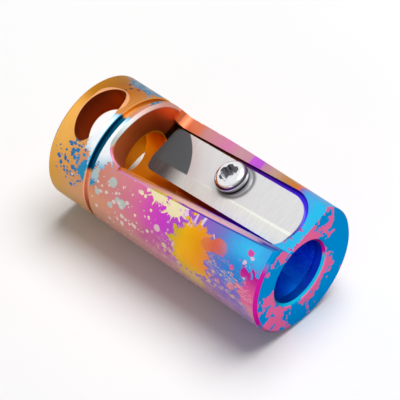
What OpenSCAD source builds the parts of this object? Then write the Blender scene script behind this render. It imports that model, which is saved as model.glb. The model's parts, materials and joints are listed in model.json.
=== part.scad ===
// Round-bar pencil sharpener, lying on its side with the blade upwards.
// One turned and milled metal body, one steel blade and one blade screw.
// Long axis along X with the pencil entry at +X, blade side up, resting on Z = 0
// and rolled to the angle at which the finished sharpener comes to rest on a table.

/* [Body] */
// Outside diameter of the round bar
body_diameter = 16.8; // [14:0.1:20]
// Length of the bar between its two end faces
body_length = 34.5; // [33:0.1:40]
// Edge chamfer round the pencil entry face
front_chamfer = 0.35; // [0.1:0.05:0.8]
// Edge chamfer round the rear face
rear_chamfer = 0.3; // [0.1:0.05:0.8]
// Distance of the decorative groove from the rear face
groove_start = 6.3; // [5.8:0.05:6.4]
// Width of the decorative groove
groove_width = 0.8; // [0.4:0.05:1]
// Depth of the decorative groove
groove_depth = 0.5; // [0.2:0.05:0.8]
// Small edge break on both rims of the groove
groove_edge = 0.15; // [0.05:0.05:0.25]
// Roll about the bar axis at which the sharpener rests, in degrees from window straight up
rest_roll = 19; // [0:0.5:30]

/* [Pencil hole] */
// Diameter of the pencil entry
entry_diameter = 8.5; // [7.5:0.1:9]
// Chamfer round the pencil entry
entry_chamfer = 0.4; // [0.1:0.05:0.6]
// Length of the straight part of the entry, chamfer included
entry_length = 1.5; // [1:0.1:2]
// Slope of the sharpening cone, and of the blade above it, in degrees
cone_slope = 11; // [10:0.5:12]
// Sideways offset of the pencil axis from the bar axis, towards the shaving gap
entry_side = 0.47; // [0:0.05:1]
// Height of the pencil axis above the bar axis
entry_rise = 0.2; // [0:0.05:0.5]

/* [Rear hole and lanyard slot] */
// Diameter of the hole bored in from the rear face
rear_hole_diameter = 7.4; // [6:0.1:8]
// Depth of the hole bored in from the rear face
rear_hole_depth = 14; // [13:0.5:15]
// Sideways position of the rear hole
rear_hole_side = 0.7; // [0:0.05:0.8]
// Height of the rear hole's axis above the bar axis
rear_hole_rise = 0.6; // [0:0.05:0.8]
// Edge chamfer on the rear hole
rear_hole_chamfer = 0.3; // [0.1:0.05:0.5]
// Distance of the slot's middle from the rear face
slot_centre = 3.5; // [3.4:0.05:3.7]
// Width of the slot along the bar
slot_width = 4.1; // [3:0.1:4.2]
// Length of the slot across the bar
slot_length = 8.4; // [7:0.1:9]
// Sideways position of the slot
slot_side = 0.4; // [0:0.05:0.6]

/* [Window] */
// Distance of the window's rear wall from the rear face
window_start = 8.05; // [7.9:0.05:8.3]
// Height of the milled flat above the bar axis at the pencil entry
flat_height = 5.35; // [5.25:0.05:5.5]
// Slope of the near wall, in degrees from the flat
near_wall_slope = 67; // [60:0.5:75]
// Sideways position of the foot of the near wall
near_wall_side = -0.93; // [-1.2:0.01:-0.8]
// Turn of the near wall, in degrees, closing the gap towards the pencil entry
near_wall_turn = 1.3; // [0:0.1:1.5]
// Round where the rear wall meets the flat
foot_radius = 1.5; // [0.8:0.1:2]
// Round of the window's near rear corner, seen from above
corner_radius = 2.45; // [1.5:0.05:3]
// Limit of the window on the near side
corner_side = -3.6; // [-3.8:0.05:-3.4]
// Chamfer round the window's rim
rim_chamfer = 0.35; // [0.2:0.05:0.45]

/* [Blade] */
// Blade thickness
blade_thickness = 0.5; // [0.4:0.05:0.6]
// Blade length, rounded tip included
blade_length = 24.9; // [22:0.1:24.9]
// Blade width, from the cutting edge to the back
blade_width = 6.4; // [6:0.1:6.6]
// Radius of the rounded tip
tip_radius = 3.7; // [3.3:0.1:4]
// Width of the ground bevel along the cutting edge
bevel_width = 1.65; // [1:0.05:2]
// Corner radius at the square rear end
blade_corner = 0.8; // [0.3:0.1:1.5]
// Screw hole position, measured back from the rounded tip
hole_from_tip = 12.45; // [12:0.05:12.6]
// Screw hole position, measured from the cutting edge
hole_from_edge = 4.15; // [4:0.05:4.3]
// Diameter of the screw hole in the blade
blade_hole = 2.8; // [2.6:0.05:3.2]
// Turn of the blade in its seat, in degrees, edge towards the shaving gap at the tip
blade_turn = 1.3; // [0:0.1:1.5]
// How far the blade's top lies below the milled flat
blade_sink = 0.11; // [0.05:0.01:0.3]

/* [Screw] */
// Thread diameter
screw_diameter = 2.5; // [2:0.1:2.6]
// Head diameter
head_diameter = 4.3; // [3.8:0.1:5]
// Head height
head_height = 1.4; // [1.2:0.1:1.8]
// Round of the head's upper edge
head_round = 0.85; // [0.5:0.05:1.1]
// Shank length below the head
shank_length = 5; // [4:0.5:6]
// Distance of the screw from the rear face, measured on the milled flat
screw_along = 20.6; // [20:0.1:21]
// Sideways position of the screw
screw_side = 4; // [3.8:0.05:4.2]
// Clearance between the screw head and the blade
head_gap = 0.02; // [0.01:0.01:0.05]
// Depth of the drive recess
drive_depth = 0.9; // [0.5:0.1:1]
// Across the points of the six-lobe drive
drive_size = 2.7; // [2:0.1:2.8]

/* [Output] */
// Which part to show
// Drawing smoothness of curved faces
smoothness = 72; // [36:12:120]

/* [Hidden] */
$fn = smoothness;
body_radius = body_diameter / 2;
over = 1;
reach = 30;
rise = tan(cone_slope);
// Height of the milled flat above the bar axis, at a distance along the bar
function flat_at(x) = flat_height - rise * (body_length - x);
// Blade parts lie in the frame of the milled flat: origin on the flat at the screw
seat_depth = blade_sink + blade_thickness;
entry_radius = entry_diameter / 2;
cone_mouth = body_length - entry_length;
cone_length = cone_mouth - rear_hole_depth;
// The cone's top line lies in the blade's seat
seat_line = flat_at(cone_mouth) - seat_depth / cos(cone_slope);
cone_mouth_radius = min(entry_radius, seat_line - entry_rise);
cone_end_radius = cone_mouth_radius - rise * cone_length;
along_scale = 1 / cos(cone_slope);
// Local distance along the flat for a distance from the rear face
function local_x(x) = (x - screw_along) * along_scale;
corner_x = window_start + corner_radius;
corner_y = corner_side + corner_radius;
near_slope = tan(near_wall_slope);
// Side position of the near wall's foot, and of its rim where it leaves the round of the bar
function foot_side(x) = near_wall_side + local_x(x) * tan(near_wall_turn);
function rim_height(x, side) = sqrt(pow(body_radius, 2) - pow(side, 2));
function rim_side(x, side) = foot_side(x) - (rim_height(x, side) - flat_at(x)) / near_slope;
function rim_settled(x) = rim_side(x, rim_side(x, rim_side(x, rim_side(x, -3))));
function rim_point(x) = [x, rim_settled(x), rim_height(x, rim_settled(x))];
// The rim's chamfer leans halfway between the wall and the round
rim_lean = 22.5;
// Blade recess: rounded front end a little clear of the blade's tip
recess_far = 6.7;
recess_radius = 4.1;
recess_x = hole_from_tip + 0.45 - recess_radius;
slot_depth = 1.4;
slot_end = 11.2;
blade_rear = hole_from_tip - blade_length;

// Frame of the bar: origin on its axis at the rear face, window straight up before the roll
module on_bar()
  translate([-body_length / 2, 0, body_radius])
    rotate([rest_roll, 0, 0])
      children();

// Frame of the milled flat: origin on the flat above the bar axis, level with the screw
module on_flat()
  on_bar()
    translate([screw_along, 0, flat_at(screw_along)])
      rotate([0, -cone_slope, 0])
        children();

module at_screw()
  on_flat()
    translate([0, screw_side, 0])
      children();

// Round bar with both end chamfers and the groove, turned about its long axis
module turned_bar()
  on_bar()
    rotate([90, 0, 90])
      rotate_extrude()
        polygon([
          [0, 0],
          [body_radius - rear_chamfer, 0],
          [body_radius, rear_chamfer],
          [body_radius, groove_start - groove_edge],
          [body_radius - groove_edge, groove_start],
          [body_radius - groove_depth, groove_start],
          [body_radius - groove_depth, groove_start + groove_width],
          [body_radius - groove_edge, groove_start + groove_width],
          [body_radius, groove_start + groove_width + groove_edge],
          [body_radius, body_length - front_chamfer],
          [body_radius - front_chamfer, body_length],
          [0, body_length],
        ]);

// Straight entry, its chamfer and the sharpening cone
module pencil_hole()
  on_bar()
    translate([0, -entry_side, entry_rise])
      rotate([0, 90, 0]) {
        translate([0, 0, cone_mouth])
          cylinder(h = entry_length + over, r = entry_radius);
        translate([0, 0, body_length - entry_chamfer])
          cylinder(h = entry_chamfer + over, r1 = entry_radius, r2 = entry_radius + entry_chamfer + over);
        translate([0, 0, rear_hole_depth])
          cylinder(h = cone_length, r1 = cone_end_radius, r2 = cone_mouth_radius);
      }

// Hole bored in from the rear face
module rear_hole()
  on_bar()
    translate([0, rear_hole_side, rear_hole_rise])
      rotate([0, 90, 0]) {
        translate([0, 0, -over])
          cylinder(h = rear_hole_depth + over, d = rear_hole_diameter);
        translate([0, 0, -over])
          cylinder(
            h = rear_hole_chamfer + over,
            r1 = rear_hole_diameter / 2 + rear_hole_chamfer + over,
            r2 = rear_hole_diameter / 2
          );
      }

// Oval lanyard slot straight through the bar
module lanyard_slot()
  on_bar()
    translate([slot_centre, slot_side, -body_radius - over])
      scale([slot_width / slot_length, 1, 1])
        cylinder(h = body_diameter + 2 * over, d = slot_length);

// Side profile of the window: rear wall, rounded foot and sloping flat
module window_side_profile() {
  foot_x = window_start + foot_radius;
  foot_z = flat_at(foot_x) + foot_radius / cos(cone_slope);
  far_x = body_length + over;
  steps = 16;
  polygon([
    for (i = [0:steps])
      let (turn = 180 + i * (90 + cone_slope) / steps)
        [foot_x + foot_radius * cos(turn), foot_z + foot_radius * sin(turn)],
    [far_x, flat_at(far_x)],
    [far_x, body_radius + over],
    [window_start, body_radius + over],
  ]);
}

// Cross profile of the window: steep near wall, open on the far side
module window_cross_profile()
  polygon([
    [0, 0],
    [reach, 0],
    [reach, reach],
    [-reach / tan(near_wall_slope), reach],
  ]);

// Plan of the window: rounded near rear corner
module window_plan() {
  far_x = body_length + over;
  translate([corner_x, corner_y])
    circle(corner_radius);
  polygon([
    [corner_x, corner_side],
    [far_x, corner_side],
    [far_x, body_radius + over],
    [window_start, body_radius + over],
    [window_start, corner_y],
    [corner_x, corner_y],
  ]);
}

module along_near_wall()
  on_flat()
    translate([0, near_wall_side, 0])
      rotate([0, 0, near_wall_turn])
        children();

module near_side_limit()
  along_near_wall()
    translate([-reach, 0, 0])
      rotate([90, 0, 90])
        linear_extrude(2 * reach)
          window_cross_profile();

// The milled window: sloping flat open to the far side and to the front
module window_cut()
  intersection() {
    on_bar()
      translate([0, body_radius + over, 0])
        rotate([90, 0, 0])
          linear_extrude(body_diameter + 2 * over)
            window_side_profile();
    near_side_limit();
    on_bar()
      translate([0, 0, -body_radius])
        linear_extrude(body_diameter + over)
          window_plan();
  }

// Recess the blade lies in, with its rounded front end
module blade_recess() {
  start_x = local_x(window_start) - over;
  intersection() {
    on_flat()
      translate([0, 0, -seat_depth])
        linear_extrude(3) {
          translate([recess_x, recess_far - recess_radius])
            circle(recess_radius);
          translate([start_x, recess_far - 2 * recess_radius])
            square([recess_x - start_x, 2 * recess_radius]);
        }
    along_near_wall()
      translate([-reach, 0.03, -seat_depth - over])
        cube([2 * reach, reach, reach]);
    behind_rear_wall();
  }
}

// Slot the shavings leave through, between the near wall and the cutting edge
module shaving_slot() {
  start_x = local_x(window_start) - over;
  intersection() {
    along_near_wall()
      translate([0, -0.03, -slot_depth])
        linear_extrude(slot_depth + 0.2)
          polygon([
            [start_x, 0],
            [slot_end, 0],
            [slot_end, 0.7],
            [start_x, 1.6],
          ]);
    behind_rear_wall();
  }
}

// Everything on the pencil side of the window's rear wall
module behind_rear_wall()
  on_bar()
    translate([window_start, -body_radius - over, -body_radius])
      cube([body_length, body_diameter + 2 * over, body_diameter]);

// Tapped hole for the blade screw
module screw_hole()
  at_screw()
    translate([0, 0, -seat_depth - shank_length - 0.6])
      cylinder(h = shank_length + 1.2, d = screw_diameter + 0.1);

// Chamfer round the rear rim of the window, a cone about the bar axis
module rear_rim_chamfer() {
  ring = rim_chamfer + 0.6;
  intersection() {
    on_bar()
      translate([window_start - rim_chamfer, 0, 0])
        rotate([90, 0, 90])
          rotate_extrude()
            polygon([
              [body_radius - ring, ring],
              [body_radius + over, -over],
              [body_radius + over, ring],
            ]);
    on_bar()
      translate([0, corner_y, 1.8])
        cube([body_length, body_diameter, body_diameter]);
  }
}

// Chamfer along the straight near rim of the window, one flat cut along the rim
module near_rim_chamfer() {
  start = rim_point(corner_x);
  finish = rim_point(body_length);
  run = finish - start;
  turn = atan2(run[1], run[0]);
  climb = atan2(run[2], norm([run[0], run[1]]));
  intersection() {
    on_bar()
      translate(start)
        rotate([0, 0, turn])
          rotate([0, -climb, 0])
            rotate([-rim_lean, 0, 0])
              translate([-5, -3, -rim_chamfer * 0.7])
                cube([norm(run) + 10, 6, 3]);
    on_bar()
      translate([corner_x, -body_radius, 0])
        cube([body_length, body_radius, body_diameter]);
  }
}

// Chamfer round the near rear corner, a cone standing on the rim of the corner
module corner_chamfer()
  intersection() {
    on_bar()
      translate([corner_x, corner_y, rim_height(0, corner_y) - 0.19])
        rotate([14, 4.5, 0])
          translate([0, 0, -2])
            cylinder(h = 3.5, r1 = corner_radius - 2 + rim_chamfer, r2 = corner_radius + 1.5 + rim_chamfer);
    on_bar()
      translate([0, -body_radius, 0])
        cube([corner_x, body_radius + corner_y, body_diameter]);
  }

module body()
  color([0.62, 0.45, 0.66])
    difference() {
      turned_bar();
      rear_hole();
      lanyard_slot();
      window_cut();
      blade_recess();
      shaving_slot();
      near_rim_chamfer();
      rear_rim_chamfer();
      corner_chamfer();
      pencil_hole();
      screw_hole();
    }

// Blade outline: square rear end with small corner rounds, round tip cut off by the edge
module blade_outline()
  intersection() {
    union() {
      translate([hole_from_tip - tip_radius, blade_width - tip_radius])
        circle(tip_radius);
      translate([blade_rear + blade_corner, blade_corner])
        circle(blade_corner);
      translate([blade_rear + blade_corner, blade_width - blade_corner])
        circle(blade_corner);
      translate([blade_rear, blade_corner])
        square([blade_length - tip_radius, blade_width - 2 * blade_corner]);
      translate([blade_rear + blade_corner, 0])
        square([blade_length - tip_radius - blade_corner, blade_width]);
    }
    translate([blade_rear - over, 0])
      square([blade_length + 2 * over, blade_width + over]);
  }

module blade()
  color([0.82, 0.83, 0.85])
    at_screw()
      rotate([0, 0, -blade_turn])
        translate([0, 0, -seat_depth])
          difference() {
            translate([0, -hole_from_edge, 0])
              linear_extrude(blade_thickness)
                blade_outline();
            translate([0, 0, -over])
              cylinder(h = blade_thickness + 2 * over, d = blade_hole);
            // ground bevel, rising from the cutting edge to the blade's top face
            translate([-reach / 2 - 5, -hole_from_edge, 0])
              rotate([90, 0, 90])
                linear_extrude(reach + 5)
                  polygon([
                    [-over, -over],
                    [-over, 2],
                    [bevel_width, 2],
                    [bevel_width, blade_thickness],
                    [0, 0.04],
                    [0, -over],
                  ]);
          }

// Six-lobe drive recess
module drive_recess()
  difference() {
    cylinder(h = drive_depth + over, d = drive_size * 0.94);
    for (i = [0:5])
      rotate([0, 0, 60 * i + 30])
        translate([drive_size * 0.56, 0, -over])
          cylinder(h = drive_depth + 3 * over, d = drive_size * 0.33);
  }

// Half of the head's outline, with its upper edge rounded
module head_profile()
  intersection() {
    square([head_diameter / 2, head_height]);
    union() {
      square([head_diameter / 2, head_height - head_round]);
      square([head_diameter / 2 - head_round, head_height]);
      translate([head_diameter / 2 - head_round, head_height - head_round])
        circle(head_round);
    }
  }

module screw()
  color([0.8, 0.8, 0.82])
    at_screw()
      translate([0, 0, head_gap - blade_sink])
        difference() {
          union() {
            rotate_extrude()
              head_profile();
            translate([0, 0, -shank_length])
              cylinder(h = shank_length + 0.5, d = screw_diameter);
          }
          translate([0, 0, head_height - drive_depth])
            drive_recess();
        }

body();
blade();
screw();
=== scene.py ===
# %% [markdown]
# # A colour-anodised pencil sharpener
# The object is a short round bar of light metal with a milled window, a steel blade and one
# screw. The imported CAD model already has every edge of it, so this script only dresses it:
# it gives each piece its finish and sets a floor, a soft light and a camera.
# Loading the frame first means that every later cell can ask it where things are.

# %% Load the frame
import json
import math

import bpy
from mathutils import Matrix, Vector


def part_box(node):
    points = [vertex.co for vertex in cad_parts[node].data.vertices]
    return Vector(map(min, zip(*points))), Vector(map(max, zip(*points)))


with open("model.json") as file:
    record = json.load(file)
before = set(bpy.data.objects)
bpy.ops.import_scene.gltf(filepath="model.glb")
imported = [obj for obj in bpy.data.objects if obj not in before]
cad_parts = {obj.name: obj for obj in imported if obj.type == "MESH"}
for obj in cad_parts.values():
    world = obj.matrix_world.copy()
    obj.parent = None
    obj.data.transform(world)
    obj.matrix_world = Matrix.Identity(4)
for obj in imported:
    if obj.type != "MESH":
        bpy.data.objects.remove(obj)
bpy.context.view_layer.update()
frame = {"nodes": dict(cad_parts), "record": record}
MM = 0.001
low, high = (Vector(corner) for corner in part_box("body"))
BAR_LENGTH = (high.x - low.x) / MM
BAR_RADIUS = (high.y - low.y) / MM / 2
lift_axis = Vector(frame["record"]["behaviour"]["joints"][0]["axis"])
REST_ROLL = math.atan2(-lift_axis.y, lift_axis.z)
print(f"bar {BAR_LENGTH:.1f} mm long, {2 * BAR_RADIUS:.1f} mm across, "
      f"resting {math.degrees(REST_ROLL):.1f} degrees round from window straight up")

# %% [markdown]
# ## Writing finishes as sums
# A finish is a node tree, but it reads best as arithmetic. `Num` wraps one number socket, so
# `1 - mask` or `a * b + c` adds the Math nodes it needs. `Finish.add` makes any other node:
# first its type, then its settings, then what goes into its sockets. Lengths in the trees are
# in millimetres along the bar, and angles in degrees round it, because that is how a turner
# would give them.

# %% A number in a finish
class Num:
    """One number socket of a node tree, with arithmetic."""

    def __init__(self, finish, socket):
        self.finish = finish
        self.socket = socket

    def math(self, operation, *others):
        values = dict(enumerate((self, *others)))
        return self.finish.add("ShaderNodeMath", {"operation": operation}, values)

    def __add__(self, other): return self.math("ADD", other)
    def __radd__(self, other): return self.math("ADD", other)
    def __sub__(self, other): return self.math("SUBTRACT", other)
    def __mul__(self, other): return self.math("MULTIPLY", other)
    def __truediv__(self, other): return self.math("DIVIDE", other)
    def __pow__(self, other): return self.math("POWER", other)
    def __gt__(self, other): return self.math("GREATER_THAN", other)
    def __lt__(self, other): return self.math("LESS_THAN", other)
    def __neg__(self): return self * -1

    def __rsub__(self, other):
        return (self * -1) + other

    def least(self, other): return self.math("MINIMUM", other)
    def most(self, other): return self.math("MAXIMUM", other)

    def fade(self, start, end):
        """0 before start and 1 after end, with a smooth change between; start may be above end."""
        settings = {"interpolation_type": "SMOOTHSTEP"}
        flip = start > end
        sockets = {"Value": self, "From Min": min(start, end), "From Max": max(start, end)}
        sockets |= {"To Min": 1.0, "To Max": 0.0} if flip else {"To Min": 0.0, "To Max": 1.0}
        return self.finish.add("ShaderNodeMapRange", settings, sockets)

    def band(self, start, end, soft):
        """1 between start and end, 0 outside."""
        return self.fade(start - soft / 2, start + soft / 2) * self.fade(end + soft / 2, end - soft / 2)


def gap(a, b):
    """Distance from the place where both numbers are 0."""
    return (a * a + b * b) ** 0.5


# %% [markdown]
# ## A finish and its colours
# Colour codes are written as on a paint chart and turned into linear light. A colour can be laid
# over another through a mask, or read from a ramp of stops along any number.

# %% A finish
def linear(code):
    """Linear colour of a code such as "d7993a"."""
    parts = [int(code[i:i + 2], 16) / 255 for i in (0, 2, 4)]
    return (*(c / 12.92 if c <= 0.04045 else ((c + 0.055) / 1.055) ** 2.4 for c in parts), 1.0)


class Finish:
    """A material being written."""

    def __init__(self, name):
        self.material = bpy.data.materials.new(name)
        self.material.use_nodes = True
        self.tree = self.material.node_tree
        self.shader = self.tree.nodes["Principled BSDF"]

    def add(self, kind, settings=None, sockets=None, out=0):
        node = self.tree.nodes.new(kind)
        for key, value in (settings or {}).items():
            if key == "stops":
                ramp = node.color_ramp
                while len(ramp.elements) < len(value):
                    ramp.elements.new(0.5)
                for element, (place, colour) in zip(ramp.elements, value):
                    element.position = place
                    element.color = colour
            else:
                setattr(node, key, value)
        for key, value in (sockets or {}).items():
            self.join(value, node.inputs[key])
        return Num(self, node.outputs[out])

    def join(self, value, socket):
        if isinstance(value, Num):
            self.tree.links.new(value.socket, socket)
        elif isinstance(value, str):
            socket.default_value = linear(value)
        else:
            socket.default_value = value

    def set(self, **sockets):
        for key, value in sockets.items():
            self.join(value, self.shader.inputs[key.replace("_", " ")])

    def tell(self, what):
        print(f"{what}: {len(self.tree.nodes)} nodes so far")

    def mix(self, mask, under, over):
        """Colour under where mask is 0, over where it is 1."""
        return self.add("ShaderNodeMix", {"data_type": "RGBA"}, {0: mask, 6: under, 7: over}, out=2)

    def mottle(self, mask, under, over):
        """Colour under, multiplied by over where mask is 1."""
        settings = {"data_type": "RGBA", "blend_type": "MULTIPLY"}
        return self.add("ShaderNodeMix", settings, {0: mask, 6: under, 7: over}, out=2)

    def ramp(self, value, stops):
        """Colours along a value, as (place, colour code) with places from 0 to 1."""
        stops = [(place, linear(code)) for place, code in stops]
        return self.add("ShaderNodeValToRGB", {"stops": stops}, {"Fac": value})

    def combine(self, x, y, z):
        return self.add("ShaderNodeCombineXYZ", None, {"X": x, "Y": y, "Z": z})

    def noise(self, where, scale, detail=3.0, rough=0.55):
        sockets = {"Vector": where, "Scale": scale, "Detail": detail, "Roughness": rough}
        return self.add("ShaderNodeTexNoise", None, sockets)

    def bump(self, height, strength, distance):
        sockets = {"Strength": strength, "Distance": distance, "Height": height}
        return self.add("ShaderNodeBump", None, sockets)


# %% [markdown]
# ## Where a point of the bar is
# Anodised colour follows the place on the bar: how far along it, how far round it and how
# deep below its round. These three numbers are worked out once for each finish from the
# point's own coordinates, so the colours stay put when the piece moves.

# %% Place along, round and below the bar's skin
class BarFinish(Finish):
    def __init__(self, name):
        super().__init__(name)
        self.point = self.add("ShaderNodeTexCoord", out=3)
        x, y, z = self.parts(self.point)
        self.along = x / MM + BAR_LENGTH / 2
        self.side, self.height = self.unroll(y / MM, z / MM - BAR_RADIUS)
        self.radius = gap(self.side, self.height)
        self.turn = (-self.side).math("ARCTAN2", self.height) * (180 / math.pi)
        self.arc = self.turn * (math.pi / 180 * BAR_RADIUS)
        self.face_x, y, z = self.parts(self.add("ShaderNodeTexCoord", out=1))
        self.face_y, self.face_z = self.unroll(y, z)

    def parts(self, vector):
        node = self.add("ShaderNodeSeparateXYZ", None, {"Vector": vector}).socket.node
        return [Num(self, node.outputs[i]) for i in range(3)]

    def cloud(self, scale, detail=3.0, rough=0.55):
        """Even noise, with so many changes to a millimetre."""
        return self.noise(self.point, scale / MM, detail, rough)

    def unroll(self, y, z):
        """The same two numbers with the bar turned back to window straight up."""
        across, up = math.cos(REST_ROLL), math.sin(REST_ROLL)
        return y * across + z * up, z * across - y * up


# %% [markdown]
# ## Thrown paint
# The dye was thrown on, so a patch is a blot with a lumpy middle, thin hairs and drops round
# it. A blot is a distance from its middle on the unrolled skin. Noise read along the angle
# round that middle grows lumps and hairs. Drops come from cells: every cell holds one drop
# of its own size, and each patch keeps only the drops near it.

# %% One blot on the unrolled skin
def blot(f, along, turn, size, stretch=1.0, lumps=0.5, hairs=0.7, fray=0.25, seed=0.0, edge=0.05):
    """Mask of a blot: its middle, its radius in mm, and how far lumps, hairs and fraying reach."""
    du = (f.along - along) / stretch
    dv = f.arc - turn * math.pi / 180 * BAR_RADIUS
    reach = gap(du, dv) / size
    ragged = f.lump * (2 * lumps) + f.fray * (2 * fray)
    if hairs > 0:  # noise read round the middle; the seed gives each blot its own stretch of it
        round_it = du.math("ARCTAN2", dv) * 2.6 + seed * 7.3
        hair = f.add("ShaderNodeTexNoise", {"noise_dimensions": "1D"},
                     {"W": round_it, "Scale": 1.6, "Detail": 2.0})
        ragged = ragged + (hair - 0.5).most(0.0) * (3.4 * hairs)
    return (reach - ragged).fade(1 + edge, 1 - edge)


def near(f, along, turn, size, stretch=1.0):
    """1 at a place on the skin, falling off smoothly to 0 at size mm from it."""
    du = (f.along - along) / stretch
    dv = f.arc - turn * math.pi / 180 * BAR_RADIUS
    return (gap(du, dv) / size).fade(1.0, 0.0)


class Drops:
    """Cells of a size in mm, each with one drop; the drops are a little ragged."""

    def __init__(self, f, size, ragged=0.1):
        cells = f.add("ShaderNodeTexVoronoi", None, {"Vector": f.point, "Scale": 1 / (size * MM)})
        tone = Num(f, cells.socket.node.outputs["Color"])
        width = f.add("ShaderNodeSeparateColor", None, {"Color": tone})
        self.lot = Num(f, width.socket.node.outputs[1])
        self.gap = cells - width * width * 0.44 - f.fray * ragged

    def keep(self, density, grow=0.0):
        """Mask of the drops whose lot is below the density."""
        return self.gap.fade(0.1 + grow, 0.05 + grow) * (self.lot < density)


# %% [markdown]
# ## The body's finish
# Outside, the bar runs from golden orange at the rear through coral, pink and magenta to
# violet and sky blue at the pencil entry. On top at the rear end it has a painted highlight.
# Towards its underside it is painted paler, as a reflection of the floor, and it is duller right
# underneath. The milled window has its own run of colours, and the holes are plainer. Masks
# made from the place on the bar and from the way a face looks keep these zones apart, so one
# material dresses the whole piece and no seam can show between parts of it.

# %% Colours along the outer skin
body = BarFinish("anodised_bar")
body.fray = body.cloud(1.7, 4.0, 0.7) - 0.5
body.lump = body.cloud(0.42, 2.0) - 0.5
drift = body.cloud(0.25, 2.0) - 0.5


def run(f, place, stops):
    """Colours along the bar, as (mm from the rear face, colour code)."""
    return f.ramp(place / BAR_LENGTH, [(mm / BAR_LENGTH, code) for mm, code in stops])


place = body.along + drift * 2.4
upper = run(body, place, [
    (1.0, "f2a842"), (4.0, "e39c52"), (7.5, "db8a6e"), (10.5, "dc9088"), (13.0, "e08296"),
    (14.8, "e572a6"), (16.6, "e355bc"), (18.6, "d840cf"), (21.0, "c04ccd"), (24.0, "9a62cc"),
    (27.0, "7b78c8"), (29.0, "5f7ed8"), (31.0, "2f86de"), (34.0, "3f93e4")])
lower = run(body, place, [
    (1.0, "e0a336"), (4.0, "dca068"), (8.0, "de9a76"), (11.0, "e09482"), (14.4, "d88290"),
    (16.5, "cc6498"), (19.4, "c65aa4"), (22.0, "b865b8"), (26.0, "9166ba"), (30.0, "7e68c8"),
    (34.0, "8a7cc4")])
# The pale underside colours are a painted reflection of the floor.
under = run(body, place, [
    (1.0, "dca64a"), (5.0, "dca670"), (9.0, "da9f86"), (14.4, "dca29c"), (19.0, "d895a4"),
    (23.0, "d0a2a0"), (26.0, "c392ac"), (30.0, "ac80c6"), (34.0, "a48cca")])
far = run(body, body.along + body.height * 0.12, [
    (0.5, "b47800"), (3.0, "a86400"), (5.0, "b8660c"), (6.6, "c47a2c"), (8.2, "c88468"),
    (11.0, "cc8076"), (13.0, "cd8e8f"), (17.0, "da80ad"), (19.0, "cb98a0"), (21.0, "cd8fa4"),
    (21.3, "cc58e0"), (23.0, "bb56d2"), (23.3, "c287a6"), (25.5, "c39c86"), (27.5, "bd8448"),
    (29.2, "cf7a30"), (29.9, "e07048"), (30.2, "8a6ec0"), (31.2, "50a0e4"), (34.0, "3aaee6")])
skin = body.mix(body.turn.fade(50, 66), upper, lower)
skin = body.mix(body.turn.fade(70, 84), skin, under)
skin = body.mix(body.turn.fade(8, -16), skin, far)
skin = body.mottle(body.turn.math("ABSOLUTE").fade(98, 118) * 0.55, skin, "8c8c94")
# Painted highlight: the rear end is lighter on top.
rear_top_highlight = body.along.band(-2, 3.5, 5) * body.turn.band(0, 50, 40)
skin = body.mix(rear_top_highlight * 0.6, skin, "fdc162")
body.tell("outer skin")

# %% [markdown]
# ## The groove and the blue beside it
# Round the groove lies a painted highlight, pale and almost white, with a blue border. A smaller
# blue blot and a washed-out one lie below it, and two dull blue ones on the far side.

# %% Painted highlight and blue round the groove
# The pale patch round the groove is a painted highlight with a blue border.
glint_highlight = blot(body, 7.2, 12, 3.9, stretch=0.62, lumps=0.1, hairs=0.3, fray=0.5, seed=2.0, edge=0.03)
glint_highlight_tone = body.ramp(near(body, 7.0, 13, 5.4), [
    (0.05, "2f8cc4"), (0.25, "7cbfe2"), (0.45, "cfe6f2"), (0.7, "f8fcff")])
skin = body.mix(glint_highlight * body.turn.fade(-14, -11), skin, glint_highlight_tone)
edge_blue = blot(body, 6.6, 48, 1.25, stretch=1.25, lumps=0.3, hairs=0.4, fray=0.5, seed=3.0)
skin = body.mix(edge_blue, skin, "2496c2")
wash = blot(body, 7.7, 45, 0.75, stretch=0.8, lumps=0.2, hairs=0.1, fray=0.4, seed=4.0, edge=0.2)
skin = body.mix(wash, skin, "b4cdd6")
far_blue = blot(body, 3.6, -62, 1.7, stretch=1.5, lumps=0.6, hairs=0.5, fray=0.6, seed=6.0)
far_blue = far_blue.most(blot(body, 7.3, -44, 1.0, stretch=1.3, lumps=0.6, hairs=0.5, fray=0.6, seed=8.0))
far_tone = body.ramp(body.fray + 0.5, [(0.35, "1f6488"), (0.5, "4e82a4"), (0.62, "9a9ca8")])
skin = body.mix(far_blue, skin, far_tone)
body.tell("groove and blue")

# %% [markdown]
# ## Drops
# Blue specks lie between the rear face and the groove, and grey and pale drops in front of it.
# Each kind keeps to its own patch of the skin and thins out towards the edge of that patch.

# %% Drops
big = Drops(body, 1.5)
small = Drops(body, 0.72)
flecks = Drops(body, 0.62, ragged=1.4)
blue = flecks.keep(near(body, 4.2, 44, 4.8) * 1.6, grow=0.14) * body.turn.fade(22, 28)
blue_tone = body.mix(near(body, 5.2, 42, 2.2), "2b74ac", "2496d0")
skin = body.mix(blue, skin, blue_tone)
dark = flecks.keep(near(body, 4.4, -42, 5.4) * 0.35)
skin = body.mix(dark, skin, "3a3c3c")
grey = big.keep(near(body, 10.9, 48, 4.6) * 1.15)
for along, turn, size in ((10.6, 41, 0.62), (12.0, 53, 0.45), (8.6, 57, 0.4)):
    grey = grey.most(blot(body, along, turn, size, lumps=0.15, hairs=0.05, fray=0.3, seed=along))
skin = body.mix(grey, skin, "c0cac4")
dust = small.keep(near(body, 13.0, 50, 9.5, stretch=1.3) * 0.75)
dust = dust.most(flecks.keep(near(body, 12.5, 58, 8.0, stretch=1.3) * 0.6, grow=-0.02))
skin = body.mix(dust * body.turn.fade(26, 32), skin, "ead6ce")
body.tell("drops")

# %% [markdown]
# ## The hidden side
# The hidden side carries on with the same colours, with seven splashes of its own and a
# scatter of thrown drops between them.

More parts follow.
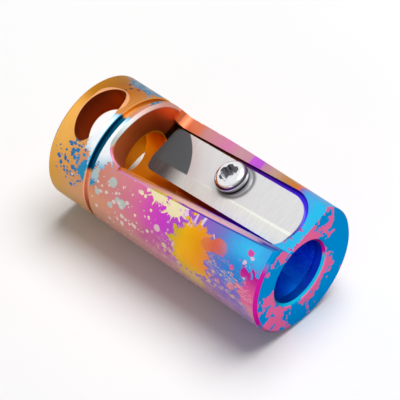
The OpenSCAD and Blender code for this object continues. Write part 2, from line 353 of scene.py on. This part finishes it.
# %% The side away from the camera
behind = body.turn.fade(-64, -86)
# Far underneath, the hidden side takes the same pale colours with the painted floor reflection.
skin = body.mix(behind, skin, body.mix(body.turn.fade(-116, -150), upper, under))
for along, turn, size, code in (
        (22.0, -108, 2.3, "f2a818"), (25.4, -100, 1.1, "e66a4c"), (13.0, -100, 1.3, "f0e2b4"),
        (30.6, -118, 2.0, "e0589c"), (17.4, -128, 1.2, "c0cac4"), (4.0, -112, 1.7, "2b74ac"),
        (9.8, -140, 1.0, "cfe6f2")):
    splash = blot(body, along, turn, size, lumps=0.5, hairs=0.6, fray=0.5, seed=along)
    skin = body.mix(splash, skin, code)
thrown = small.keep(near(body, 19.0, -112, 11.0, stretch=1.5) * 0.9).most(flecks.keep(behind * 0.14))
skin = body.mix(thrown * behind, skin, "ecd0c8")
body.tell("hidden side")

# %% [markdown]
# ## Cream, gold and coral
# Two cream blots touch the rim of the window. The gold blot is the largest. It has a ring of
# small drops, pale rays above it, a tan stripe below it and a coral lobe towards the pencil end.

# %% Cream, gold and coral
cream = blot(body, 17.3, 26, 1.15, stretch=1.15, lumps=0.5, hairs=0.9, fray=0.3, seed=12.0)
cream = cream.most(blot(body, 20.1, 28, 1.2, stretch=1.05, lumps=0.6, hairs=0.9, fray=0.3, seed=14.0))
cream = cream.most(small.keep(near(body, 18.0, 31, 4.8, stretch=1.7) * 1.1))
skin = body.mix(cream, skin, "f8eabc")
halo = small.keep(near(body, 22.6, 54, 6.4) * 1.5).most(big.keep(near(body, 19.6, 58, 4.6) * 1.2))
halo = halo.most(flecks.keep(near(body, 21.0, 58, 6.0) * 0.8))
halo_tone = body.mix(body.turn.fade(50, 66), "ecc2d4", "dcbf9a")
skin = body.mix(halo, skin, halo_tone)
rays = blot(body, 23.4, 52, 3.3, stretch=0.9, lumps=0.1, hairs=0.8, fray=0.2, seed=23.0)
skin = body.mix(rays * body.turn.fade(34, 29) * 0.85, skin, "f2dcf2")
gold = blot(body, 23.6, 54, 3.3, stretch=0.84, lumps=0.45, hairs=0.42, fray=0.5, seed=15.0)
gold = gold.most(small.keep(near(body, 23.6, 52, 5.2) * 1.3) * body.turn.fade(74, 66))
gold_tone = body.ramp((body.along - 20.5) / 7 + drift * 0.4, [
    (0.1, "d9b92c"), (0.3, "fcb900"), (0.62, "f6a000"), (0.9, "ee8a4e")])
gold_tone = body.mix(body.turn.fade(62, 74), gold_tone, "e6b428")
skin = body.mix(gold, skin, gold_tone)
stripe = blot(body, 24.2, 83, 0.9, stretch=2.2, lumps=0.4, hairs=0.6, fray=0.5, seed=16.0)
skin = body.mix(stripe, skin, "e2bd72")
lobe = blot(body, 27.7, 36.5, 0.95, stretch=1.25, lumps=0.12, hairs=0.0, fray=0.2, seed=18.0)
lobe = lobe.most(blot(body, 26.2, 40, 0.75, stretch=1.5, lumps=0.1, hairs=0.0, fray=0.25, seed=19.0))
lobe_tone = body.ramp((body.along - 25) / 4, [(0.0, "ea8c3c"), (0.45, "e66a4c"), (1.0, "e05a5c")])
skin = body.mix(lobe, skin, lobe_tone)
body.tell("cream, gold and coral")

# %% [markdown]
# ## The pencil end of the skin
# Towards the pencil entry the skin turns sky blue, brightest on top where a painted sheen lies on
# it, then a deeper blue, with a magenta edge that fades to rose underneath. Thin tan veins and
# drops cross the violet below the gold.

# %% Sky, magenta and rose at the pencil end
# The bright sky blue on top is the skin's blue with a painted sheen on it.
sky_blue_and_sheen = near(body, 31.6, 27, 4.0, stretch=1.25) * (body.fray * 0.8 + 1.0)
skin = body.mix(sky_blue_and_sheen.least(1.0), skin, "3fc4f8")
deep = near(body, 30.8, 47, 3.4, stretch=1.2) * (body.fray * 1.2 + 0.8)
skin = body.mix(deep.least(0.85), skin, "1d86dc")
spray = big.keep(near(body, 31.0, 54, 5.2) * 1.1).most(flecks.keep(near(body, 30.6, 57, 5.4) * 0.75))
spray_tone = body.mix(body.turn.fade(40, 56), "e24aa8", "dd7d96")
skin = body.mix(spray, skin, spray_tone)
blush = small.keep(near(body, 32.4, 36, 2.6) * 0.9).most(flecks.keep(near(body, 22.6, 31, 2.6) * 0.8))
skin = body.mix(blush, skin, "ecc4e4")
pink_edge = blot(body, 35.6, 60, 3.9, stretch=0.85, lumps=0.5, hairs=0.6, fray=0.7, seed=27.0)
pink_edge = pink_edge.most(blot(body, 32.0, 43, 0.62, stretch=0.9, lumps=0.2, hairs=0.1, fray=0.4, seed=28.0))
pink_tone = body.mix(body.turn.fade(40, 58), "c8109a", body.mix(body.turn.fade(62, 84), "e8589e", "dc9ab0"))
skin = body.mix(pink_edge, skin, pink_tone)
vein_place = body.combine(body.along * 0.22, body.arc * 1.5 - body.along * 0.16, 4.0)
vein = body.noise(vein_place, 1.5, 3.0, 0.6) - 0.5
vein = vein.math("ABSOLUTE").fade(0.022, 0.008) * near(body, 27.0, 80, 7.4, stretch=1.8).fade(0.05, 0.4)
skin = body.mix(vein * (1 - gold) * 0.9, skin, "e6c0b0")
tan_drops = flecks.keep(near(body, 24.0, 76, 8.0, stretch=1.6) * 0.75)
skin = body.mix(tan_drops * (1 - gold), skin, "dcb49c")
body.tell("pencil end")

# %% [markdown]
# ## The milled window
# The flat takes the far side's colours and turns cyan at the pencil end. The near wall, the
# recess, the rear wall and the shaving gap each have their own run of tones. Painted shade darkens
# the recess wall, the foot of the near wall towards the pencil end, and the feet of the rear wall
# and of the far rear corner. The flat falls towards the rear, so heights are taken from it: it
# ends 34.5 mm along and 5.35 mm up.

# %% Colours of the milled window
FLAT_END, FLAT_HEIGHT, FLAT_FALL = 34.5, 5.35, 0.194
above_flat = body.height - ((FLAT_END - body.along) * -FLAT_FALL + FLAT_HEIGHT)
in_window = body.along.fade(7.95, 8.1)
cyan = body.mix(body.along.fade(31.5, 33.5), "48ace6", "24bdec")
specks = flecks.keep(near(body, 33.8, -8, 6.0) * 0.8, grow=0.06)
cyan = body.mix(specks, cyan, "c8489c")
window = body.mix((body.along - body.side * 0.28).fade(28.6, 29.6), far, cyan)
near_wall = body.face_y.fade(0.7, 0.85)
wall_low = above_flat.fade(1.0, 0.5)
wall_tone = run(body, body.along, [
    (9.0, "dc7a5c"), (14.0, "e98a64"), (16.0, "e6a08c"), (20.0, "f2c2ae"), (24.0, "eab8bc"),
    (28.0, "deb2c8"), (30.5, "b48cba"), (32.5, "7a569e"), (34.0, "3c4fa0")])
# The near wall's own tones, with painted shade at its foot darkening towards the pencil end.
wall_foot_tone_and_shade = run(body, body.along, [
    (14.0, "e08a5c"), (19.0, "eebaa8"), (24.0, "e2aebc"), (26.5, "a884b0"), (30.0, "5c3aa0"),
    (33.0, "2c58c0")])
window = body.mix(near_wall, window, body.mix(wall_low, wall_tone, wall_foot_tone_and_shade))
recess_wall = body.face_y.fade(-0.3, -0.6) * body.radius.fade(8.2, 8.0)
# Violet and blue tones with painted shade: the recess wall is dark, near black at the rear.
recess_tone_and_shade = run(body, body.along, [
    (9.5, "140806"), (12.5, "2a100c"), (15.0, "5a2030"), (19.0, "5a1c50"), (24.0, "4a1490"),
    (29.0, "3a18c4"), (33.5, "3a28e0")])
window = body.mix(recess_wall, window, recess_tone_and_shade)
rear_wall = body.face_x.fade(0.6, 0.8) * body.along.fade(11.5, 10.0)
rear_tone = body.ramp((body.side + 4) / 12, [
    (0.05, "e08058"), (0.2, "e07c44"), (0.34, "d0682c"), (0.5, "b04c18"), (0.72, "a43c0c"), (0.92, "d86c38")])
# Painted shadow at the foot of the rear wall on its far side.
rear_wall_foot_shadow = above_flat.fade(1.1, 0.2) * body.side.fade(2.6, 4.4)
rear_tone = body.mix(rear_wall_foot_shadow, rear_tone, "1c0c06")
window = body.mix(rear_wall, window, rear_tone)
# Coral above the flat, and a painted shadow in near black below it, at the far rear corner.
foot = body.along.fade(12.6, 11.2) * (1 - rear_wall) * body.side.fade(3.0, 5.5)
foot_tone_and_shadow = body.mix(above_flat.fade(-0.4, 0.1), "1a0c06", "ee8458")
window = body.mix(foot * 0.9, window, foot_tone_and_shadow)
gap_tone = run(body, body.along, [
    (10.0, "ffa41c"), (13.2, "e07c10"), (14.2, "9c540c"), (15.4, "8c480c"), (17.0, "9c400c"),
    (18.6, "a0381c"), (20.0, "9a2a90"), (22.0, "8628d8"), (26.0, "7028f0"), (30.0, "4428f0")])
slot_floor = body.face_z.fade(0.3, 0.6) * above_flat.fade(-0.3, -0.5)
window = body.mix(slot_floor, window, gap_tone)
body.tell("milled window")

# %% [markdown]
# ## Rims, groove and holes
# The rims are thin chamfers that catch the light, so they get lines of their own. The rear rim
# is pink and coral with a painted highlight and a painted shade line along its inner edge. Where the
# groove is blue, its bottom is painted dark as shade and both its edges light as highlights. The
# middles of the rear hole, of the pencil entry and of the lanyard slot are given from the bar's own axis.

# %% Rims, groove and holes
REAR_HOLE_SIDE, REAR_HOLE_UP = 0.7, 0.6
PENCIL_SIDE, PENCIL_UP = -0.47, 0.2
SLOT_ALONG, SLOT_SIDE = 3.5, 0.4
rim = body.face_y.band(0.15, 0.62, 0.1) * body.face_z.fade(0.3, 0.45) * body.height.fade(6.0, 6.4) * in_window
rim_tone = run(body, body.along, [
    (9.5, "c47aa2"), (15.8, "c886b0"), (16.4, "b8a030"), (18.1, "c4a838"), (18.4, "a83cb8"),
    (18.9, "a83cb8"), (19.2, "c2a62c"), (20.5, "c8a23a"), (20.9, "b02cb0"), (24.5, "8e44c6"),
    (27.0, "5a4ac0"), (30.0, "3a5cc8"), (34.0, "3f7ed8")])
rim_line = body.mix(body.along.fade(20.6, 21.4), body.radius.fade(8.14, 8.2), body.radius.fade(8.2, 8.24))
rim_inner = run(body, body.along, [
    (9.0, "b8603c"), (14.0, "c47a58"), (17.0, "cc9478"), (20.0, "d8a89c"), (24.0, "d8a4a8"), (28.0, "cc9cb0"),
    (31.4, "b088b0"), (32.4, "3a3694"), (34.0, "2c4aa0")])
rim_outer = run(body, body.along, [
    (19.0, "9a54a8"), (21.0, "7a2a9c"), (24.0, "4a2c9c"), (28.0, "2e4aa4"), (32.0, "2460a0"),
    (34.0, "2a7ab4")])
rim_tone = body.mix(rim_line, rim_inner, body.mix(body.along.fade(19.0, 21.0), rim_tone, rim_outer))
rear_rim = body.face_x.fade(0.35, 0.5) * body.along.band(7.5, 8.1, 0.1) * body.radius.fade(7.8, 8.0)
# Painted shade line along the rear rim's inner edge; the rim's pale middle is a painted highlight.
rear_rim_shade_line = body.radius.fade(8.02, 7.94) * 0.55
rear_rim_tone_and_highlight = body.ramp((body.turn + 60) / 95, [
    (0.1, "d49a8c"), (0.4, "f0cfc4"), (0.55, "eef2f0"), (0.75, "b4bfb8"), (0.88, "c0a0a8"), (1.0, "c47aa0")])
groove = body.along.band(6.12, 7.42, 0.06) * body.radius.fade(8.39, 8.35) * body.radius.fade(7.7, 7.8)
groove_blue = body.turn.fade(-14, -10) * body.turn.fade(47, 42)
# Painted shade and highlight: where the groove is blue, its bottom is dark and its edges light.
groove_deep = body.along.band(6.22, 6.95, 0.08)
groove_tone = body.mix(groove_deep, "3cc0e8", "04506e")
groove_warm = body.mix(body.turn.fade(30, 60), "d8964a", body.mix(groove_deep, "dc9c7c", "eeb090"))
groove_tone = body.mix(groove_blue, groove_warm, groove_tone)
cavity = body.along.fade(14.3, 13.9) * body.radius.fade(6.0, 5.6) * (1 - rear_wall)
rear_hole = gap(body.side - REAR_HOLE_SIDE, body.height - REAR_HOLE_UP)
rear_hole = rear_hole.fade(3.9, 3.8) * body.along.fade(9.0, 8.6) * body.along.fade(0.3, 0.5)
slot = body.along.fade(5.75, 5.6) * body.along.fade(1.2, 1.4) * body.radius.fade(8.38, 8.3)
slot_tone = body.mix(body.height.fade(5.0, 8.0), "b05e28", "844620")
slot_tone = body.mix(body.height.fade(1.0, -1.0), slot_tone, "ffac1c")
body.tell("rims, groove and holes")

# %% [markdown]
# ## The end face
# The entry face is blue with rose patches and a magenta rim. The chamfer of the pencil hole is
# painted bright cyan as a highlight on its blue. The hole behind it is deep blue, painted lighter
# on its near side as light, and turns into the tones of the shaving gap further in.

# %% End face and pencil hole
front = body.face_x.fade(0.45, 0.6) * body.along.fade(33.9, 34.1)
outer = front * body.radius.fade(7.9, 8.02)
hole_gap = gap(body.side - PENCIL_SIDE, body.height - PENCIL_UP)
patches = body.cloud(0.26, 4.0, 0.62)
patches = (patches + body.fray * 0.12).fade(0.505, 0.52)
mouth = front * hole_gap.fade(4.54, 4.5)
inside = body.along.fade(13.4, 14.0) * hole_gap.fade(4.32, 4.28) * body.height.fade(5.6, 5.2) * (1 - mouth)
# Painted light: the bore is a lighter blue on its near side.
bore_tone = body.mix(body.side.fade(-1.5, 2.5), "0a8ce4", "1040d0")
bore_tone = body.mix(body.fray.fade(-0.1, 0.25) * 0.4, bore_tone, "189ae4")
bore_tone = body.mix(body.along.fade(33.1, 33.4) * body.side.fade(-2, 1), bore_tone, "2c6cff")
bore_tone = body.mix(body.along.fade(26.0, 29.0), gap_tone, bore_tone)
body.tell("end face")

# %% [markdown]
# ## All zones in one colour
# Each zone is laid over the ones before it. Fine turning lines and a little grain go on last,
# as bump and as a slight unevenness of colour and roughness.

# %% Put the zones together
on_round = body.radius.fade(8.3, 8.37)
colour = body.mix(on_round, window, skin)
colour = body.mix(rim, colour, rim_tone)
colour = body.mix(rear_rim, colour, body.mix(rear_rim_shade_line, rear_rim_tone_and_highlight, "3c3030"))
colour = body.mix(groove, colour, groove_tone)
colour = body.mix(cavity, colour, "ffa41c")
# Painted highlight along the lanyard slot's rim on its lit side.
past_straight = ((body.side - SLOT_SIDE).math("ABSOLUTE") - 2.15).most(0.0)
slot_gap = gap(past_straight, body.along - SLOT_ALONG)
lit_part = (body.side - (body.along - SLOT_ALONG).most(0.0) * 1.8).fade(-2.4, -0.6)
slot_rim_highlight = slot_gap.fade(2.19, 2.13) * lit_part
slot_rim_highlight *= body.radius.fade(8.34, 8.38) * body.height.fade(3.0, 4.0)
colour = body.mix(slot_rim_highlight * 0.75, colour, "f0ae80")
colour = body.mix(slot, colour, slot_tone)
colour = body.mix(rear_hole, colour, "f8a418")
end_tone = body.mix(patches, "0092d6", "ea6ca0")
colour = body.mix(front, colour, end_tone)
colour = body.mix(outer, colour, body.mix(body.turn.band(30, 96, 12), end_tone, "cc1a9c"))
# The bright cyan on the hole's chamfer is a painted highlight.
mouth_tone = body.mix(body.side.fade(1.4, 2.4) * body.height.fade(-2.0, -1.0), "14b6dc", "c0108c")
colour = body.mix(mouth, colour, mouth_tone)
colour = body.mix(inside, colour, bore_tone)
rear_face = body.face_x.fade(-0.45, -0.6) * body.along.fade(0.6, 0.4)
rear_face_tone = body.mix((body.lump + body.fray * 0.35).fade(0.1, 0.12), "dc9436", "3f86ae")
colour = body.mix(rear_face, colour, rear_face_tone)

turned = body.add("ShaderNodeTexWave", {"wave_type": "BANDS", "bands_direction": "X"},
                  {"Vector": body.point, "Scale": 3100, "Distortion": 0.6, "Detail": 2.0,
                   "Detail Scale": 3.0})
grain = body.noise(body.combine(body.along * 14, body.side * 0.5, body.height * 0.5), 1.0, 3.0)
colour = body.mottle(0.22, colour, body.ramp(grain, [(0.3, "dcdcdc"), (0.7, "ffffff")]))
bright = front.most(recess_wall).most(inside * body.along.fade(26.0, 28.0))
bright = bright.most(groove).most(rear_wall * 0.6)
body.set(Base_Color=colour, Roughness=0.3 + grain * 0.16, Metallic=0.5 + bright * 0.5,
         Normal=body.bump(grain + turned * 0.4, 0.12, 0.00004))
body.shader.inputs["Specular Tint"].default_value = (0.4, 0.4, 0.4, 1.0)
body.tell("whole body")

# %% [markdown]
# ## The blade's finish
# A sharpener blade is a stamped strip of satin steel with one edge ground to a bevel. The
# bevel shows fine grinding lines across it and is a little brighter, but deep in the window it
# is painted dark as a reflection. The heel carries the same painted dark reflection, and round
# the screw's hole a painted shadow and reflection of the head lie as a dark ring with a light
# ring inside it.

# %% Satin steel with a ground bevel
HEEL_ALONG, HEEL_SIDE, HEEL_RADIUS = 5.3, -2.0, 10
PAINTED_RING_ALONG, PAINTED_RING_SIDE = 21.2, 3.95
blade = BarFinish("satin_blade")
lines = blade.noise(blade.combine(blade.along * 9, blade.side * 0.6, blade.height * 0.6), 1.0, 3.0)
steel = blade.ramp(lines, [(0.3, "d2d2d3"), (0.7, "dedede")])
bevel = blade.side.fade(1.75, 1.55)
heel_gap = gap(blade.along - HEEL_ALONG, blade.side - HEEL_SIDE)
# Painted dark reflection on the heel of the blade.
heel_dark_reflection = heel_gap.fade(HEEL_RADIUS + 0.04, HEEL_RADIUS - 0.06)
steel = blade.mix(heel_dark_reflection, steel, "4a5256")
cool = run(blade, blade.along, [
    (14.0, "dceaee"), (18.0, "e8f2ee"), (22.0, "f2f8ea"), (26.0, "f6fcec"), (34.0, "fcfff4")])
ground = blade.mix(lines.fade(0.62, 0.38) * 0.22, cool, "b8c4c4")
# Painted dark reflection on the bevel deep in the window.
shaded = blade.ramp(lines, [(0.35, "3a3a3c"), (0.65, "5c5c60")])
ground = blade.mix(blade.along.fade(15.2, 11.0), ground, shaded)
steel = blade.mix(bevel, steel, ground)
# Painted shadow and reflection of the screw head: a dark ring round it and a light ring inside.
painted_ring_gap = gap(blade.along - PAINTED_RING_ALONG, blade.side - PAINTED_RING_SIDE)
steel = blade.mix(painted_ring_gap.fade(2.75, 2.3) * 0.8, steel, "4c4c50")
steel = blade.mix(painted_ring_gap.fade(2.25, 2.05) * 0.85, steel, "b4b4b8")
blade.set(Base_Color=steel, Roughness=0.34 + lines * 0.1 + heel_dark_reflection * 0.2,
          Metallic=0.6 - heel_dark_reflection * 0.5 - bevel * 0.4, Normal=blade.bump(lines, 0.1, 0.00003))
blade.tell("whole blade")

# %% [markdown]
# ## The screw's finish
# The screw is polished stainless steel, so it is mostly reflection: low roughness, full metal.
# The tool recess is painted dark as shade on its walls and is light on its floor, and the side of
# the head has the dark and light reflection bands of a polished round, painted in.

# %% Polished steel
SCREW_ALONG, SCREW_SIDE, SCREW_FOOT, FLAT_TILT = 20.6, 4.0, 2.65, 11
screw = BarFinish("polished_screw")
tilt = math.radians(FLAT_TILT)
out_u, out_h = screw.along - SCREW_ALONG, screw.height - SCREW_FOOT
rise = out_h * math.cos(tilt) - out_u * math.sin(tilt)
slide = out_u * math.cos(tilt) + out_h * math.sin(tilt)
from_middle = gap(slide, screw.side - SCREW_SIDE)
wear = screw.cloud(6.0, 4.0)
# Painted reflection bands round the side of the head.
head_reflection_bands = screw.ramp(rise / 1.6, [
    (0.0, "141416"), (0.12, "3c3c40"), (0.24, "c8c8cc"), (0.36, "f4f4f4"), (0.46, "707074"), (0.54, "202022"),
    (0.62, "8c8c90"), (0.74, "ececee"), (1.0, "f2f2f2")])
recess = from_middle.fade(1.42, 1.36) * (1 - screw.face_z.fade(0.7, 0.9) * (rise > 1.0))
floor_patch = screw.face_z.fade(0.7, 0.9) * (rise < 1.0)
# Painted shade on the walls of the tool recess.
drive_wall_shade = screw.ramp(wear, [(0.35, "2c2c30"), (0.65, "78787e")])
drive_tone = screw.mix(floor_patch, drive_wall_shade, "f0f0f2")
shine = screw.mix(recess, head_reflection_bands, drive_tone)
shine = screw.mottle(0.3, shine, screw.ramp(wear, [(0.3, "d0d0d4"), (0.7, "ffffff")]))
screw.set(Base_Color=shine, Roughness=0.12 + wear * 0.1, Metallic=1.0,
          Normal=screw.bump(wear, 0.05, 0.00002))
screw.tell("whole screw")

# %% [markdown]
# ## Dressing the pieces
# Each finish goes into the material slots of its own piece.

# %% Dress the nodes
for node, finish in (("body", body), ("blade", blade), ("screw", screw)):
    for holder in frame["nodes"][node].material_slots:
        holder.material = finish.material
print("dressed", len(frame["nodes"]), "nodes")

# %% [markdown]
# ## The floor
# The floor is plain, matt and almost white.

# %% Floor
FLOOR_SIZE, FLOOR_GAP = 6, 0.0001
bpy.ops.mesh.primitive_plane_add(size=FLOOR_SIZE, location=(0, 0, -FLOOR_GAP))
floor = bpy.context.object
floor.name = "floor"
paper = Finish("pale_floor")
paper_out = paper.tree.nodes["Material Output"]
diffuse = paper.add("ShaderNodeBsdfDiffuse", None, {"Color": "f8f8f8"})
paper.tree.links.new(diffuse.socket, paper_out.inputs["Surface"])
floor.data.materials.append(paper.material)

# %% [markdown]
# ## The light
# The surroundings are white to the eye and in reflections but weak as a light, so that the two
# lamps shape the object and the shadow stays soft.

# %% Light
AS_LIGHT, AS_SEEN = 0.2, 1.0
world = bpy.data.worlds.new("studio")
world.use_nodes = True
bpy.context.scene.world = world
nodes, links = world.node_tree.nodes, world.node_tree.links
sky_light = nodes["Background"]
sky_light.inputs["Color"].default_value = (1, 1, 1, 1)
path = nodes.new("ShaderNodeLightPath")
seen = path.outputs["Is Camera Ray"]
for ray in ("Is Glossy Ray", "Is Transmission Ray"):
    either = nodes.new("ShaderNodeMath")
    either.operation = "MAXIMUM"
    links.new(seen, either.inputs[0])
    links.new(path.outputs[ray], either.inputs[1])
    seen = either.outputs[0]
strength = nodes.new("ShaderNodeMapRange")
strength.inputs["To Min"].default_value = AS_LIGHT
strength.inputs["To Max"].default_value = AS_SEEN
links.new(seen, strength.inputs["Value"])
links.new(strength.outputs[0], sky_light.inputs["Strength"])


def lamp(name, towards, distance, size, watts):
    """An area lamp that shines on the object from a direction."""
    data = bpy.data.lights.new(name, "AREA")
    data.shape = "DISK"
    data.size = size
    data.energy = watts
    holder = bpy.data.objects.new(name, data)
    bpy.context.collection.objects.link(holder)
    direction = Vector(towards).normalized()
    holder.location = middle + direction * distance
    holder.rotation_mode = "QUATERNION"
    holder.rotation_quaternion = direction.to_track_quat("Z", "Y")
    print(f"{name} lamp: {watts} W from {distance} m")


middle = (low + high) / 2
lamp("key", towards=(0.05, 0.30, 0.95), distance=0.5, size=0.4, watts=2.5)
lamp("fill", towards=(0.35, -0.9, 0.1), distance=0.6, size=0.4, watts=1.1)

# %% [markdown]
# ## The camera
# The camera looks down on the window from the pencil end with a long lens. It is rolled a
# little, so the bar runs from upper left to lower right. It looks at a place close to the
# middle of the bar, and `AIM` is the step from that middle to it.

# %% Camera
AZIMUTH, ELEVATION, ROLL = math.radians(-44.23), math.radians(45.66), math.radians(-2.97)
DISTANCE, LENS, AIM = 0.28439, 212.56, Vector((0.24, 0.31, 0.11)) * MM
level = math.cos(ELEVATION)
towards = Vector((math.cos(AZIMUTH) * level, math.sin(AZIMUTH) * level, math.sin(ELEVATION)))
camera_data = bpy.data.cameras.new("camera")
camera_data.lens = LENS
camera_data.sensor_width = 36
camera_data.clip_start = 0.01
camera = bpy.data.objects.new("camera", camera_data)
bpy.context.collection.objects.link(camera)
camera.location = middle + AIM + towards * DISTANCE
camera.rotation_euler = towards.to_track_quat("Z", "Y").to_euler()
camera.rotation_euler.rotate_axis("Z", ROLL)
scene = bpy.context.scene
scene.camera = camera
scene.view_settings.view_transform = "Standard"
print(f"camera {DISTANCE * 1000:.0f} mm away, {math.degrees(ELEVATION):.0f} degrees up")
